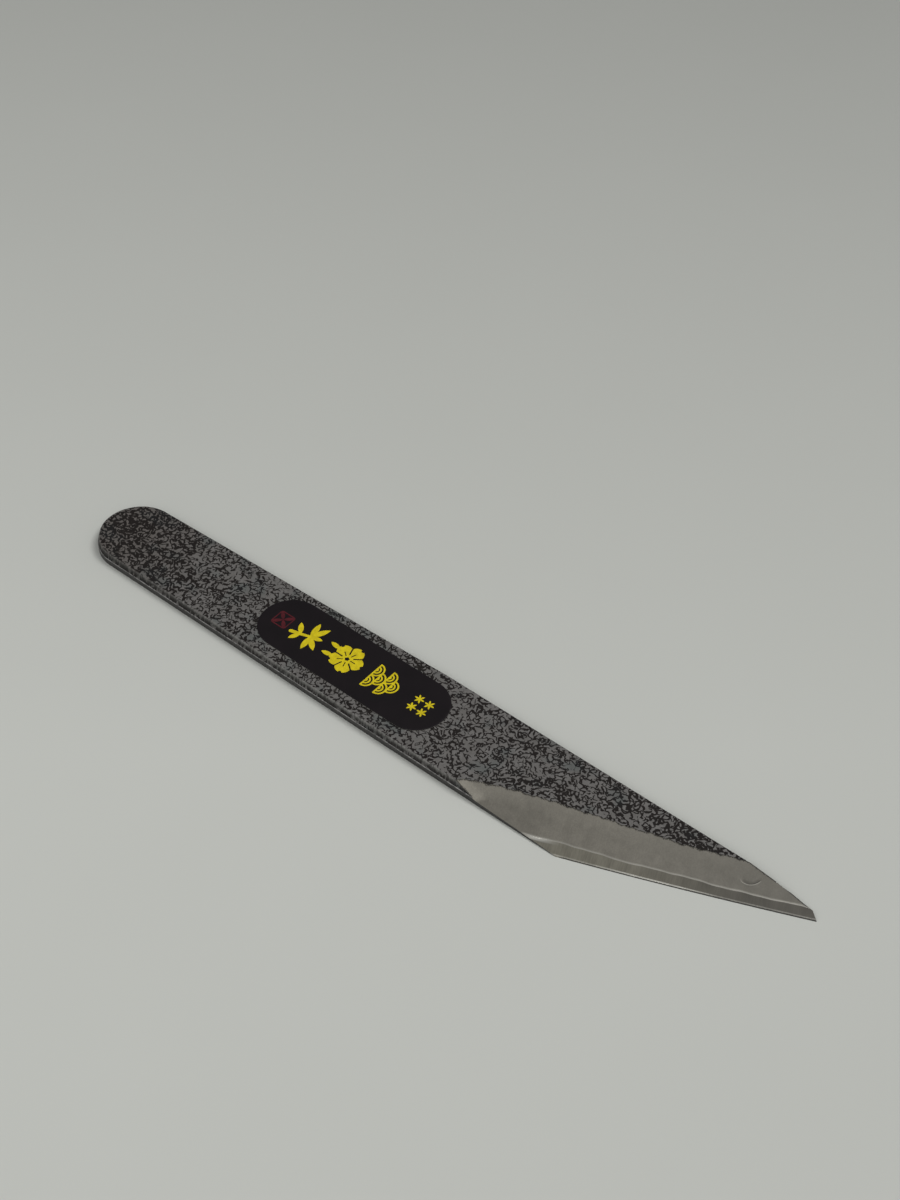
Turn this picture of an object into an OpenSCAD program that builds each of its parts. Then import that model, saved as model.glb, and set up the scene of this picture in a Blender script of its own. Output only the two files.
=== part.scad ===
// One-piece carving knife with a single ground bevel, lying on its back.
// The bar runs along X from the round butt to the point, the cutting edge
// faces -Y, the spine faces +Y and the flat back lies on the plane z = 0.

/* [Bar] */
// Overall length from the butt to the point
overall_l = 180; // [176:1:184]
// Width of the bar at and past the neck
bar_w = 21; // [20.8:0.1:21.4]
// Full thickness from the back to the front
bar_t = 3; // [2.8:0.1:3.3]
// Radius of the round butt
butt_r = 9.05; // [8.8:0.05:9.2]
// How far the butt stands in from the heel's side
butt_step = 0.45; // [0.3:0.05:0.6]
// Where the bar reaches its full width, from the middle of the length
neck_x = -1; // [-10:1:10]
// Width of the slope between the front and the side
arris_w = 0.45; // [0.3:0.05:0.6]
// Height of that slope
arris_h = 1.5; // [1.2:0.1:1.6]

/* [Blade] */
// Distance of the heel corner from the middle of the length
heel_x = 43; // [41:0.5:45]
// Distance of the point below the spine
point_drop = 1.7; // [1.5:0.1:1.9]
// Length of the snub between the spine and the point
snub_l = 1.8; // [1.6:0.1:2]
// How far the cutting edge swells past a straight line
belly_d = 0.3; // [0.2:0.05:0.4]
// Width of the ground bevel at the heel
bevel_w = 10.3; // [10.1:0.1:10.5]
// How much the bevel narrows for each millimetre towards the point
bevel_narrowing = 0.083; // [0.08:0.001:0.086]
// Share of the bevel's width taken by the honed strip of hard steel
strip_share = 0.29; // [0.27:0.01:0.31]
// Thickness of the hard steel under the iron
steel_t = 0.72; // [0.68:0.01:0.76]
// Thickness left along the cutting edge
edge_t = 0.1; // [0.09:0.01:0.12]
// Depth of the hollow ground in the back of the blade
back_hollow = 0.12; // [0.08:0.01:0.16]

/* [Finish] */
// Thickness of the mottled coat
coat_t = 0.08; // [0.07:0.01:0.1]
// Where the coat on the back ends, from the middle of the length
back_coat_x = 14; // [5:1:18]

/* [Label] */
// Length of the label
label_l = 49.2; // [48:0.2:50]
// Width of the label
label_w = 14.4; // [13:0.2:15]
// Distance of the label's middle from the middle of the length
label_x = -18.5; // [-21:0.5:-16]
// Distance of the label's middle from the middle of the width
label_y = 0.25; // [-0.25:0.05:0.5]
// Thickness of the glue under the label
glue_t = 0.04; // [0.03:0.01:0.06]
// Thickness of the label's film
film_t = 0.09; // [0.08:0.01:0.12]
// Thickness of the printed ink
ink_t = 0.03; // [0.03:0.01:0.04]

/* [Hidden] */
$fn = 64;

over = 1;                                 // how far a cutter reaches past what it cuts
far = overall_l;                          // a length past every face
edge_y = -bar_w / 2;
spine_y = bar_w / 2;
butt = [butt_r - overall_l / 2, edge_y + butt_r + butt_step];
heel = [heel_x, edge_y];
point = [overall_l / 2, spine_y - point_drop];
snub = point + [-snub_l, 1.3];            // corner between the spine and the snub
brow = [snub.x - 8, spine_y];             // where the spine starts to fall to the snub

// The bar spreads from the butt to the neck along two lines that touch the butt's arc.
function lean(end) = let (d = end - butt)
    abs(atan2(d.y, d.x)) - asin(butt_r / norm(d));
function on_butt(angle) = butt + butt_r * [cos(angle), sin(angle)];
spine_neck = [neck_x, spine_y];
edge_neck = [neck_x, edge_y];
spine_angle = 90 + lean(spine_neck);
edge_angle = 270 - lean(edge_neck);

// The cutting edge: s runs along its chord from the heel, edge_in points into the blade.
chord = point - heel;
chord_l = norm(chord);
edge_dir = chord / chord_l;
edge_in = [-edge_dir.y, edge_dir.x];
function clip(x) = min(1, max(0, x));
function smooth(x) = let (t = clip(x)) t * t * (3 - 2 * t);
function swell(s) = let (t = clip(s / chord_l)) 4 * belly_d * t * (1 - t);
function edge_at(s) = heel + s * edge_dir - swell(s) * edge_in;

// ---- the bar

// Corners of the outline, which run counterclockwise from the spine end of the butt's arc.
arc_steps = 32;
edge_steps = 12;
butt_arc = [for (i = [0 : arc_steps])
    on_butt(spine_angle + (edge_angle - spine_angle) * i / arc_steps)];
cutting_edge = [for (i = [1 : edge_steps - 1]) edge_at(chord_l * i / edge_steps)];
outline = concat(butt_arc, [edge_neck, heel], cutting_edge, [point, snub, brow, spine_neck]);

// The outline with every side moved in by d.
function inward(a, b) = let (run = (b - a) / norm(b - a)) [-run.y, run.x];
function drawn_in(d) = let (n = len(outline)) [for (i = [0 : n - 1]) let (
    before = inward(outline[(i + n - 1) % n], outline[i]),
    after = inward(outline[i], outline[(i + 1) % n]))
    outline[i] + d * (before + after) / (1 + before * after)];

// A slab between two heights, with the outline drawn in by its own amount at each.
module loft(low, low_inset, high, high_inset) {
    n = len(outline);
    low_points = [for (p = drawn_in(low_inset)) [p.x, p.y, low]];
    high_points = [for (p = drawn_in(high_inset)) [p.x, p.y, high]];
    low_face = [for (i = [0 : n - 1]) i];
    high_face = [for (i = [2 * n - 1 : -1 : n]) i];
    sides = [for (i = [0 : n - 1]) let (j = (i + 1) % n) [i, i + n, j + n, j]];
    polyhedron(concat(low_points, high_points), concat([low_face, high_face], sides));
}

// The upper part of the bar, where the arris slopes in; inset draws it all in further.
arris_foot = bar_t - arris_h;
function arris_inset(z) = arris_w * (z - arris_foot) / arris_h;
module arrised(low, high, inset = 0) {
    loft(low, inset + arris_inset(low), high, inset + arris_inset(high));
}

// ---- the ground bevel

bevel_w_max = 11.1;                       // the bevel is no wider than this behind the heel
hollow_slope = 0.85;                      // how steeply the hollow leaves the strip
neck_hollow = 0.33;                       // extra depth of the hollow near the neck
neck_s = [-18, -2];                       // the extra depth fades out between these places
least_slope = 0.4;                        // the hollow always rises at least this fast
plunge_s = [-23.1, -15.3];                // the grind runs out between these places
strip_rise = steel_t / bar_t;
edge_rise = edge_t / bar_t;

function bevel_width(s) = min(bevel_w - bevel_narrowing * s, bevel_w_max);

// Heights below are shares of bar_t, and u is a share of the bevel's width from the edge.
function hollow(u) = let (
    rest = 1 - strip_share,
    curve = ((1 - strip_rise) / rest - hollow_slope) / rest,
    v = u - strip_share)
    strip_rise + v * (hollow_slope + curve * v);
function neck_depth(s, u) =
    neck_hollow * smooth((neck_s[1] - s) / (neck_s[1] - neck_s[0]))
    * 4 * (u - strip_share) * (1 - u) / pow(1 - strip_share, 2);
function bevel_rise(s, u) =
    u < strip_share ? edge_rise + (strip_rise - edge_rise) * u / strip_share
    : u > 1 ? u
    : max(hollow(u) - neck_depth(s, u), strip_rise + least_slope * (u - strip_share));
function plunge_rise(s) = (plunge_s[1] - s) / (plunge_s[1] - plunge_s[0]);
function bevel_point(s, u) = let (p = edge_at(s) + u * bevel_width(s) * edge_in)
    [p.x, p.y, bar_t * max(bevel_rise(s, u), plunge_rise(s))];

// Everything above the bevel: a grid of points along and across it, closed by a lid.
module above_bevel() {
    along = concat([for (s = [plunge_s[0] - 1 : plunge_s[1] - 0.5]) s],
                   [for (s = [plunge_s[1] : 3 : 0]) s],
                   [for (s = [4 : 8 : chord_l + 2]) s]);
    across = concat([-0.2, 0, strip_share], [for (u = [0.4 : 0.1 : 1.1]) u]);
    ns = len(along);
    nu = len(across);
    n = ns * nu;
    floor_points = [for (s = along) for (u = across) bevel_point(s, u)];
    lid_points = [for (p = floor_points) [p.x, p.y, bar_t * 1.5]];
    rim = concat([for (j = [0 : nu - 1]) j],
                 [for (i = [1 : ns - 1]) i * nu + nu - 1],
                 [for (j = [nu - 2 : -1 : 0]) (ns - 1) * nu + j],
                 [for (i = [ns - 2 : -1 : 1]) i * nu]);
    floor_faces = [for (i = [0 : ns - 2]) for (j = [0 : nu - 2]) let (a = i * nu + j)
        each [[a, a + nu + 1, a + 1], [a, a + nu, a + nu + 1]]];
    lid_faces = [for (f = floor_faces) [f[0] + n, f[2] + n, f[1] + n]];
    wall_faces = [for (k = [0 : len(rim) - 1]) let (a = rim[k], b = rim[(k + 1) % len(rim)])
        each [[a, b, b + n], [a, b + n, a + n]]];
    polyhedron(concat(floor_points, lid_points),
               concat(floor_faces, lid_faces, wall_faces), convexity = 4);
}

// ---- the metal and its coat

module iron_body() {
    color("dimgray") difference() {
        union() {
            loft(steel_t, 0, arris_foot, 0);
            arrised(arris_foot, bar_t - coat_t, coat_t);
        }
        above_bevel();
    }
}

// The shallow hollow in the back of the blade, kept clear of every side.
module back_hollow_cut() {
    rim = 2.6;
    translate([0, 0, -over]) linear_extrude(over + back_hollow) intersection() {
        translate([heel.x - 20, -far / 2]) square(far);
        offset(delta = -rim) polygon(outline);
    }
}

module back_coat_shape() {
    linear_extrude(coat_t) intersection() {
        polygon(outline);
        translate([back_coat_x - far, -far / 2]) square(far);
    }
}

module hard_steel_layer() {
    color("silver") difference() {
        linear_extrude(steel_t) polygon(outline);
        above_bevel();
        back_hollow_cut();
        back_coat_shape();
    }
}

module front_coat() {
    color("darkslategray") difference() {
        arrised(arris_foot, bar_t);
        arrised(arris_foot - over, bar_t - coat_t, coat_t);
        above_bevel();
    }
}

module back_coat() {
    color("darkslategray") back_coat_shape();
}

// ---- the label

module label_sheet(low, thickness) {
    half = (label_l - label_w) / 2;
    translate([label_x, label_y, low]) linear_extrude(thickness) {
        square([2 * half, label_w], center = true);
        for (end = [-half, half]) translate([end, 0]) circle(label_w / 2);
    }
}

module label_glue() {
    color("lightgray") label_sheet(bar_t, glue_t);
}

module label_film() {
    color("black") label_sheet(bar_t + glue_t, film_t);
}

// Ink on the film; at is the motif's middle, from the label's.
module ink(at) {
    translate([label_x + at.x, label_y + at.y, bar_t + glue_t + film_t])
        linear_extrude(ink_t) children();
}

// A pointed leaf between two equal arcs, from its stalk at the given place.
module leaf(at, angle, length, width) {
    r = (pow(length, 2) + pow(width, 2)) / (4 * width);
    translate(at) rotate(angle) intersection_for(side = [-1, 1])
        translate([length / 2, side * (r - width / 2)]) circle(r);
}

module stroke(a, b, width) {
    run = b - a;
    translate(a) rotate(atan2(run.y, run.x)) {
        translate([0, -width / 2]) square([norm(run), width]);
        circle(width / 2);
        translate([norm(run), 0]) circle(width / 2);
    }
}

module label_bamboo() {
    foot = [-3.4, -1.5];
    joint = [-1.2, -0.9];
    crown = [1, -0.2];
    color("gold") ink([-12.8, 0.1]) {
        stroke(foot, joint, 0.85);
        stroke(joint, crown, 0.7);
        leaf(crown, 62, 4.6, 1.4);
        leaf(crown, 100, 4.2, 1.3);
        leaf(crown, 15, 2.9, 1.1);
        leaf(crown, -40, 4, 1.3);
        leaf(crown, -80, 3.9, 1.3);
        leaf(joint, 128, 3.3, 1.2);
        leaf(joint, -118, 2.8, 1.1);
    }
}

module label_blossom() {
    petal_r = 1.75;
    petal_out = 2.2;
    color("gold") ink([-1.6, 0.1]) {
        difference() {
            for (a = [0 : 72 : 288]) rotate(a) translate([petal_out, 0]) circle(petal_r);
            for (a = [0 : 72 : 288]) rotate(a) {
                translate([petal_out + petal_r, 0]) circle(0.4);
                rotate(36) translate([1.3, -0.16]) square([petal_out * 2, 0.32]);
                translate([0.9, -0.11]) square([1.3, 0.22]);
            }
        }
        leaf([-3, 1.2], 172, 2.8, 1.1);
        leaf([-3, -1.2], 188, 2.8, 1.1);
    }
}

// One crest of the wave pattern: two half rings and a half disc on a base line.
module crest(r) {
    line = 0.36;
    difference() {
        intersection() {
            circle(r);
            translate([0, -r]) square([r, 2 * r]);
        }
        circle(r - line);
    }
    difference() {
        intersection() {
            circle(r * 0.6);
            translate([0, -r]) square([r, 2 * r]);
        }
        circle(r * 0.6 - line);
    }
    intersection() {
        circle(r * 0.25);
        translate([0, -r]) square([r, 2 * r]);
    }
    translate([-line / 2, -r]) square([line, 2 * r]);
}

module label_waves() {
    r = 1.85;
    color("gold") ink([8.6, 0.05]) for (row = [0 : 3])
        for (y = row % 2 == 0 ? [-r + 0.1, r - 0.1] : [0])
            translate([(row - 2) * (r - 0.1), y]) crest(r);
}

module label_stars() {
    pitch = 2.6;
    color("gold") ink([18.5, 0]) for (x = [-0.5, 0.5], y = [-0.5, 0.5])
        for (a = [0 : 60 : 300])
            leaf([x * pitch, y * pitch], a, 1.2, 0.42);
}

module round_square(side, r) {
    square([side, side - 2 * r], center = true);
    square([side - 2 * r, side], center = true);
    for (x = [-1, 1], y = [-1, 1])
        translate([x, y] * (side / 2 - r)) circle(r);
}

module label_seal() {
    side = 4;
    line = 0.28;
    color("brown") ink([-19.6, -0.1]) {
        difference() {
            round_square(side, 0.6);
            round_square(side - 2 * line, 0.6 - line);
        }
        for (a = [45 : 90 : 315]) leaf([0, 0], a, side * 0.65, 0.9);
    }
}

iron_body();
hard_steel_layer();
front_coat();
back_coat();
label_glue();
label_film();
label_bamboo();
label_blossom();
label_waves();
label_stars();
label_seal();
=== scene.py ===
"""The looks of a one-piece, single-bevel carving knife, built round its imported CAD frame.

The knife lies on its back: +X runs from the round butt to the point, the edge faces -Y and the
front faces +Z. Shapes below are worked out in millimetres and made in metres.
"""

import math

import bmesh
import bpy
import numpy as np
from mathutils import Matrix, Vector
from mathutils.geometry import delaunay_2d_cdt
from mathutils.kdtree import KDTree


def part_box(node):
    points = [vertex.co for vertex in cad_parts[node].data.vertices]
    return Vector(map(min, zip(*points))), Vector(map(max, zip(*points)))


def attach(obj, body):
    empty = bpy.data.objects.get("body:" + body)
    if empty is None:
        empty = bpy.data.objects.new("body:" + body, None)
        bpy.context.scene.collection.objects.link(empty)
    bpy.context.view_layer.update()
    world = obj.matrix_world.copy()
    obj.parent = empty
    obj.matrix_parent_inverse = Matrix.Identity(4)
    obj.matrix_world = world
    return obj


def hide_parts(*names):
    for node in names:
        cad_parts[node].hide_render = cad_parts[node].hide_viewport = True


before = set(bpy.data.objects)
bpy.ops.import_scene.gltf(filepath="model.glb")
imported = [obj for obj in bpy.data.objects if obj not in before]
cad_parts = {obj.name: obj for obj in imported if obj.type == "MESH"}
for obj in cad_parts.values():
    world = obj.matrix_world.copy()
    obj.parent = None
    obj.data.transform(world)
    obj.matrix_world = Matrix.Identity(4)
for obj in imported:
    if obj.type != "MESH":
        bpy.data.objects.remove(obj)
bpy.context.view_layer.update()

MM = 0.001


# ---------------------------------------------------------------- sizes read from the frame

def box_mm(node):
    low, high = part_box(node)
    return np.array(low) / MM, np.array(high) / MM


def corner_mm(node, score):
    """The plan position of the node's vertex that scores highest."""
    best = max(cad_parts[node].data.vertices, key=lambda v: score(v.co))
    return np.array([best.co.x, best.co.y]) / MM


STEEL_LOW, STEEL_HIGH = box_mm("hard_steel_layer")
COAT_LOW, COAT_HIGH = box_mm("front_coat")
BACK_HIGH = box_mm("back_coat")[1]
FILM_LOW, FILM_HIGH = box_mm("label_film")

BUTT_X = STEEL_LOW[0]
EDGE_Y, SPINE_Y = STEEL_LOW[1], STEEL_HIGH[1]
STEEL_T = STEEL_HIGH[2]
FRONT_Z = COAT_HIGH[2]
ARRIS_FOOT = COAT_LOW[2]
COAT_T = BACK_HIGH[2]
BACK_COAT_X = BACK_HIGH[0]

HEEL = corner_mm("hard_steel_layer", lambda v: v.x - 100 * v.y)
POINT = corner_mm("hard_steel_layer", lambda v: v.x)


# ---------------------------------------------------------------- the outline

BUTT_R = 9.05
BUTT_STEP = 0.45          # how far the butt stands in from the edge's side
BUTT_MID = np.array([BUTT_X + BUTT_R, EDGE_Y + BUTT_R + BUTT_STEP])
NECK_X = -1.0             # the bar has its full width from here to the blade
SNUB = POINT + [-1.8, 1.3]
BROW = np.array([SNUB[0] - 8.0, SPINE_Y])
BELLY = 0.3               # how far the cutting edge swells past a straight line
BUTT_POINTS, EDGE_POINTS = 145, 60

CHORD = POINT - HEEL
CHORD_L = np.hypot(*CHORD)
ALONG = CHORD / CHORD_L
INTO = np.array([-ALONG[1], ALONG[0]])


def smooth(x, low=0.0, high=1.0):
    t = np.clip((x - low) / (high - low), 0.0, 1.0)
    return t * t * (3.0 - 2.0 * t)


def belly(s):
    t = np.clip(s / CHORD_L, 0.0, 1.0)
    return 4.0 * BELLY * t * (1.0 - t)


def edge_at(s):
    s = np.asarray(s, float)[..., None]
    return HEEL + s * ALONG - belly(s) * INTO


def to_edge(p):
    """s along the edge's chord from the heel, and the distance in from the curved edge."""
    q = p - HEEL
    s = q @ ALONG
    return s, q @ INTO + belly(s)


def lean(end):
    """How far past square a line from an end leaves the butt's arc, which it touches."""
    d = end - BUTT_MID
    return abs(math.atan2(d[1], d[0])) - math.asin(BUTT_R / np.hypot(*d))


def outline_corners():
    """Counterclockwise, from where the spine leaves the butt's arc."""
    spine_neck, edge_neck = np.array([NECK_X, SPINE_Y]), np.array([NECK_X, EDGE_Y])
    first, last = math.pi / 2 + lean(spine_neck), 1.5 * math.pi - lean(edge_neck)
    arc = np.linspace(first, last, BUTT_POINTS)
    butt = BUTT_MID + BUTT_R * np.c_[np.cos(arc), np.sin(arc)]
    edge = edge_at(np.linspace(0.0, CHORD_L, EDGE_POINTS)[1:-1])
    step = np.array([BACK_COAT_X, EDGE_Y])
    far_step = np.array([BACK_COAT_X, SPINE_Y])
    return np.vstack([butt, [edge_neck, step, HEEL], edge, [POINT, SNUB, BROW, far_step, spine_neck]])


def resample(points, step, closed=False):
    """The same corners, with each stretch split into pieces about one step long."""
    ends = np.vstack([points[1:], points[:1]]) if closed else points[1:]
    out = []
    for a, b in zip(points, ends):
        n = max(1, int(round(np.linalg.norm(b - a) / step)))
        out += [a + (b - a) * k / n for k in range(n)]
    if not closed:
        out.append(points[-1])
    return np.array(out)


def inward_normals(loop):
    """Mitred inward directions of a counterclockwise loop, for moving its sides in by one unit."""
    run = np.roll(loop, -1, 0) - loop
    run /= np.linalg.norm(run, axis=1)[:, None]
    after = np.c_[-run[:, 1], run[:, 0]]
    before = np.roll(after, 1, 0)
    return (before + after) / (1.0 + (before * after).sum(1))[:, None]


CORNERS = outline_corners()
# Each side's direction, the direction in from it, and its distance along that from the origin.
SIDE_RUN = np.roll(CORNERS, -1, 0) - CORNERS
SIDE_RUN /= np.linalg.norm(SIDE_RUN, axis=1)[:, None]
SIDE_IN = np.c_[-SIDE_RUN[:, 1], SIDE_RUN[:, 0]]
SIDE_AT = (CORNERS * SIDE_IN).sum(1)


def inset_of(p):
    """How far inside the outline each plan point lies."""
    return (p @ SIDE_IN.T - SIDE_AT).min(1)


# ---------------------------------------------------------------- heights of the front

ARRIS_W, ARRIS_W_FAR = 0.45, 0.2      # on the edge's side and on the spine's
ARRIS_ROUND = 0.3
SHOULDER_W = 0.12                     # bare metal between the side and the coat
SHOULDER_DROP = 0.08
SHOULDER_RISE = 0.06
RIM_Z = ARRIS_FOOT + SHOULDER_RISE

BEVEL_W, BEVEL_NARROWING, BEVEL_W_MAX = 10.3, 0.083, 11.1
STRIP_SHARE = 0.29                    # share of the bevel taken by the honed strip
HOLLOW_SLOPE = 0.85                   # how steeply the hollow leaves the strip
NECK_HOLLOW = 0.33                    # extra depth of the hollow near the neck
LEAST_SLOPE = 0.4                     # the hollow always rises at least this fast
EDGE_T = 0.17                         # thickness behind the last honing
MICRO_W, MICRO_T, MICRO_RISE = 0.2, 0.02, 0.04
PLUNGE_AT = HEEL + [-25.0, 0.75]      # the grind runs out to the neck along this plane
PLUNGE_SLOPE = np.array([-0.305, 0.292])
PLUNGE_ROUND = 0.12


def soft_min(a, b, r):
    """The lesser of two heights, rounded off where they are less than r apart."""
    return np.minimum(a, b) - np.maximum(r - np.abs(a - b), 0.0) ** 2 / (4.0 * r)


def soft_max(a, b, r):
    return -soft_min(-a, -b, r)


def front_height(p, sunk=0.0):
    """The bar's front before the bevel is ground: bare shoulder, sloped arris, flat. The arris is
    widest on the edge's side."""
    inset = inset_of(p) - sunk
    width = ARRIS_W_FAR + (ARRIS_W - ARRIS_W_FAR) * smooth(-p[:, 1], 2.0, 9.0)
    shoulder = ARRIS_FOOT - SHOULDER_DROP + inset * (SHOULDER_DROP + SHOULDER_RISE) / SHOULDER_W
    arris = RIM_Z + (inset - SHOULDER_W) * (FRONT_Z - RIM_Z) / (width - SHOULDER_W)
    top = soft_min(arris, FRONT_Z, ARRIS_ROUND)
    return np.where(inset < SHOULDER_W, shoulder, top)


def even_width(s):
    return np.minimum(BEVEL_W - BEVEL_NARROWING * s, BEVEL_W_MAX)


def bevel_width(s):
    """The bevel runs a little wider again towards the point."""
    return even_width(s) + 0.6 * smooth(s, 26.0, 34.0)


def strip_width(s):
    """The honed strip's width, with the weld line's slight waves."""
    waves = 0.10 * np.sin(s / 3.1 + 0.6) + 0.07 * np.sin(s / 1.45 + 2.0) + 0.035 * np.sin(s / 0.62)
    spread = 0.22 * smooth(s, 15.0, 30.0) + 0.4 * smooth(s, 43.0, 48.0)
    return STRIP_SHARE * even_width(s) + spread + waves * smooth(s, -8.0, 0.0)


def bevel_height(p):
    """The ground bevel: honed strip with its last honing, hollow, and the run-out at the neck."""
    s, n = to_edge(p)
    w = bevel_width(s)
    strip = strip_width(s)
    on_strip = EDGE_T + (STEEL_T - EDGE_T) * n / strip
    micro = MICRO_T + (EDGE_T - MICRO_T + MICRO_RISE) * n / MICRO_W
    on_strip = np.minimum(on_strip, micro)
    rest = (w - strip) / w
    curve = ((1.0 - STEEL_T / FRONT_Z) / rest - HOLLOW_SLOPE) / rest
    v = (n - strip) / w
    hollow = STEEL_T + FRONT_Z * v * (HOLLOW_SLOPE + curve * v)
    depth = NECK_HOLLOW * smooth(-s, 2.0, 18.0) * np.maximum(4.0 * v * (rest - v) / rest ** 2, 0.0)
    lowest = STEEL_T + FRONT_Z * LEAST_SLOPE * v
    height = np.where(n < strip, on_strip, np.maximum(hollow - FRONT_Z * depth, lowest))
    run = FRONT_Z + (p - PLUNGE_AT) @ PLUNGE_SLOPE
    return soft_max(height, run, PLUNGE_ROUND)


# A thumbnail-shaped nick in the bevel, near the point.
NICK_MID, NICK_R = POINT + [-15.4, 0.65], 2.67
NICK_FACING = np.array([0.57, -0.82])
NICK_DEPTH, NICK_LIP = 0.08, 0.03


def nick(p):
    """Depth of the nick: a shallow scoop that ends at a curved wall with a raised lip."""
    d = p - NICK_MID
    r = np.hypot(d[:, 0], d[:, 1])
    facing = (d @ NICK_FACING) / np.maximum(r, 0.01)
    arc = smooth(facing, 0.62, 0.86)
    scoop_out = smooth(r, NICK_R - 0.9, NICK_R - 0.1) * (1.0 - smooth(r, NICK_R - 0.1, NICK_R + 0.08))
    lip = np.exp(-((r - NICK_R - 0.14) / 0.1) ** 2)
    return arc * (NICK_DEPTH * scoop_out - NICK_LIP * lip)


# The scooped facet where the strip starts, by the side, which the strip's colour also paints with a bright
# glint.
SCOOP_S = (-6.5, -0.5)


def scoop(p):
    """1 in the middle of the scooped facet and 0 outside it."""
    s, n = to_edge(p)
    middle = np.exp(-(((s - SCOOP_S[0]) / (SCOOP_S[1] - SCOOP_S[0]) - 0.38) / 0.42) ** 2)
    band = (strip_width(s) - n) / 0.9
    return middle * smooth(band, -0.05, 0.15) * (1.0 - smooth(band, 0.6, 1.1))


# ---------------------------------------------------------------- lines that the pieces share

FINE = 0.2


def bisect(inside, low, high):
    """Where a test that is true at low turns false on the way to high, for arrays of ends."""
    low, high = np.array(low, float), np.array(high, float)
    for _ in range(40):
        mid = (low + high) / 2
        ok = inside(mid)[:, None]
        low, high = np.where(ok, mid, low), np.where(ok, high, mid)
    return (low + high) / 2


OUTER = resample(CORNERS, FINE, closed=True)
OUTER_IN = inward_normals(OUTER)
SHOULDER = OUTER + SHOULDER_W * OUTER_IN
BLADE_FROM_X = 10.0           # the grind lies wholly on the point's side of here


def is_ground(p):
    return bevel_height(p) < front_height(p)


def crossing(test, spine):
    """Index of the first outline point from the butt, along one side, where the test holds."""
    side = OUTER[:, 1] > 0 if spine else OUTER[:, 1] < 0
    blade = (OUTER[:, 0] > BLADE_FROM_X) & side & (spine | (OUTER[:, 0] < HEEL[0]))
    hits = np.where(blade & test)[0]
    return hits.max() if spine else hits.min()


# On the spine's side the coat already stops where the bevel is still a little above the shoulder.
COAT_END_RISE = 0.5
A_NEAR = crossing(is_ground(SHOULDER), False)
A_FAR = crossing(bevel_height(SHOULDER) < RIM_Z + COAT_END_RISE, True)
THIN = bevel_height(OUTER) < STEEL_T
B_NEAR, B_FAR = crossing(THIN, False), crossing(THIN, True)

GRIND_TURN = 1.5              # how far in the line goes before it is followed along the bar
GRIND_UP_STEPS = 11
GRIND_NEAR_X = (12.0, 24.0)   # coated at the first and ground at the second, near the edge's side
GRIND_STEP = 0.5
SURELY_GROUND = 4.2           # a place this far above the edge's chord is always ground
CLEAR_OF_SIDE = 0.08          # the weld line's points keep this far from the side


def grind_line():
    """Plan line where the ground bevel meets the coated front, from the edge's side to the spine."""
    start = SHOULDER[A_NEAR]
    ys = np.linspace(start[1], EDGE_Y + GRIND_TURN, GRIND_UP_STEPS + 1)[1:]
    coated_x, ground_x = (np.full(GRIND_UP_STEPS, x) for x in GRIND_NEAR_X)
    up = bisect(lambda p: ~is_ground(p), np.c_[coated_x, ys], np.c_[ground_x, ys])
    end_x = SHOULDER[A_FAR][0]
    xs = np.append(np.arange(up[-1][0] + 0.4, end_x - 0.3, GRIND_STEP), end_x - 0.04)
    chord_y = HEEL[1] + (xs - HEEL[0]) / ALONG[0] * ALONG[1]
    low = np.c_[xs, chord_y + SURELY_GROUND]
    across = bisect(is_ground, low, np.c_[xs, np.full(len(xs), SPINE_Y - SHOULDER_W)])
    line = resample(np.vstack([[start], up, across, [SHOULDER[A_FAR]]]), FINE)
    run = np.gradient(line, axis=0)
    run /= np.linalg.norm(run, axis=1)[:, None]
    t = np.arange(len(line)) * FINE
    ragged = 0.07 * np.sin(t / 0.33 + 1.0) + 0.09 * np.sin(t / 0.71 + 0.4) + 0.07 * np.sin(t / 1.9)
    ragged *= smooth(inset_of(line) - SHOULDER_W, 0.05, 1.2)
    return line + np.c_[-run[:, 1], run[:, 0]] * ragged[:, None]


def weld_line():
    """Plan line where the iron ends on the bevel, from the edge's side to the spine."""
    s_near, s_far = to_edge(OUTER[[B_NEAR, B_FAR]])[0]
    s = np.linspace(s_near, s_far, int((s_far - s_near) / FINE))[1:-1]
    line = edge_at(s) + strip_width(s)[:, None] * INTO
    keep = inset_of(line) > CLEAR_OF_SIDE
    return np.vstack([OUTER[B_NEAR], line[keep], OUTER[B_FAR]])


GRIND = grind_line()
WELD = weld_line()


def around(n, first, last):
    """Indices of a closed loop of n from first to last, going round past its end if need be."""
    return [(first + k) % n for k in range((last - first) % n + 1)]


def span(loop, first, last):
    return loop[around(len(loop), first, last)]


# ---------------------------------------------------------------- mesh making

def with_z(plan, z):
    return np.c_[plan, np.broadcast_to(z, len(plan))]


def within(points, loop):
    """Which plan points lie inside a closed loop."""
    x, y = points[:, 0], points[:, 1]
    odd = np.zeros(len(points), bool)
    for (ax, ay), (bx, by) in zip(loop, np.roll(loop, -1, 0)):
        if ay != by:
            odd ^= ((ay > y) != (by > y)) & (x < (bx - ax) * (y - ay) / (by - ay) + ax)
    return odd


def tree_of(points):
    tree = KDTree(len(points))
    for i, p in enumerate(points):
        tree.insert((p[0], p[1], 0.0), i)
    tree.balance()
    return tree


def far_from(tree, points):
    """Each plan point's distance to the nearest point in the tree."""
    return np.array([tree.find((p[0], p[1], 0.0))[2] for p in points])


ROW_GAP = 0.866           # between the rows of a grid of even triangles with sides of one
STRAY = 0.12              # share of a step by which grid points stray


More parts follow.
